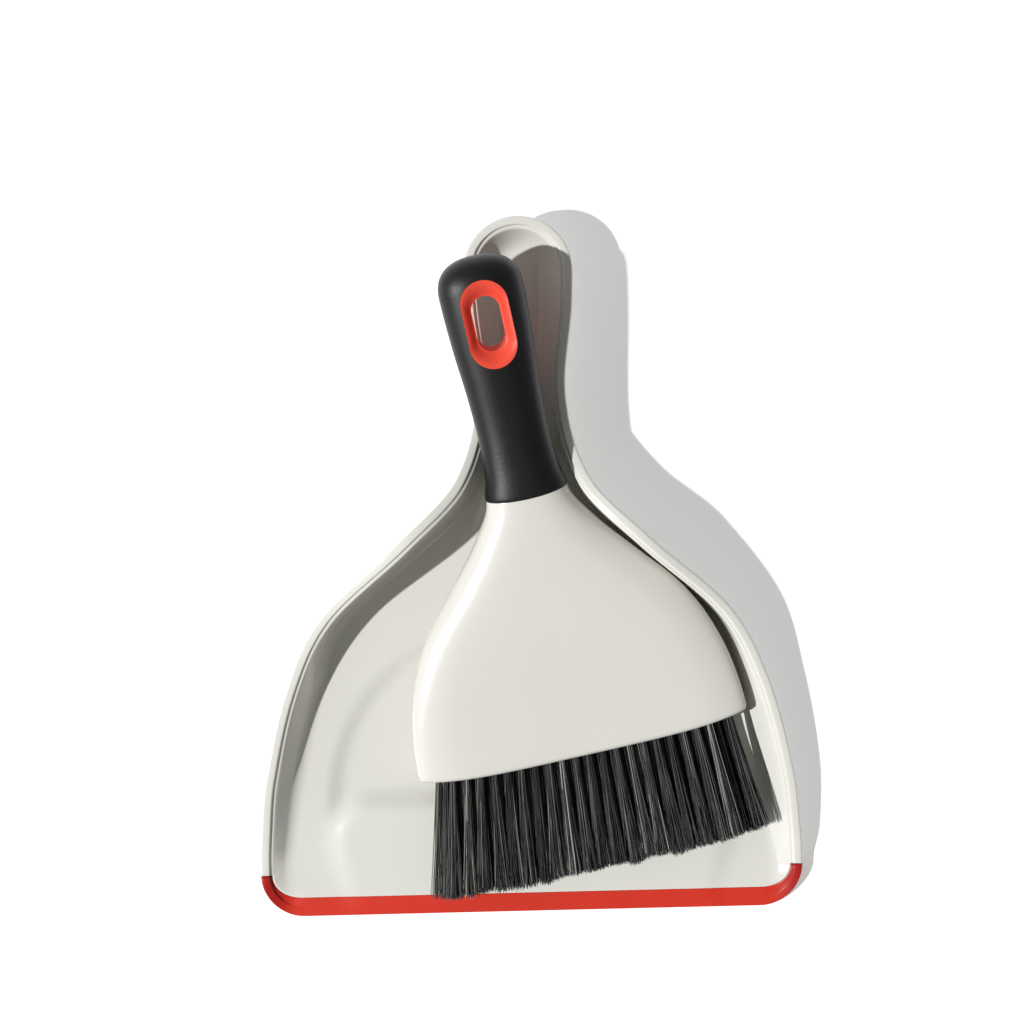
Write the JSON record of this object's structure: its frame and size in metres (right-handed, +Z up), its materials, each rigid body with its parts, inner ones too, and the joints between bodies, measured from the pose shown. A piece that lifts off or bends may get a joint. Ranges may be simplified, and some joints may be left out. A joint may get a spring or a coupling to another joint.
{
  "type": "dust pan and brush set",
  "caption": "Moulded dust pan with a rubber front lip and a trough handle, and a flared hand brush with a rubber grip lying in it.",
  "frame": {"origin": "on the floor, under the middle of the pan's bounding box", "axes": "+Z up, +Y from the pan's lip towards the end of its handle, +X to the right of a person who looks at the pan from its lip"},
  "size_m": [0.233, 0.2975, 0.0628],
  "materials": {
    "pan_plastic": "off-white moulded plastic, glossy",
    "head_plastic": "off-white moulded plastic, glossy",
    "red_rubber": "soft satin, coral red",
    "black_rubber": "soft satin, black",
    "bristles": "drawn filament, black with grey strands",
    "staple_wire": "bright wire"
  },
  "bodies": {
    "pan": {"pan_body": "pan_plastic", "pan_lip": "red_rubber"},
    "brush": {"head_front_shell": "head_plastic", "head_back_shell": "head_plastic", "bristle_block": "head_plastic", "tuft_row_1": "bristles", "tuft_row_2": "bristles", "tuft_row_3": "bristles", "tuft_row_4": "bristles", "staple_row_1": "staple_wire", "staple_row_2": "staple_wire", "staple_row_3": "staple_wire", "staple_row_4": "staple_wire", "grip_sleeve": "black_rubber", "hang_ring": "red_rubber"}
  },
  "joints": [
    {"name": "brush_lift", "type": "slide", "parent": "pan", "child": "brush", "axis": [0, 0, 1], "range_m": [0, 0.12]}
  ]
}
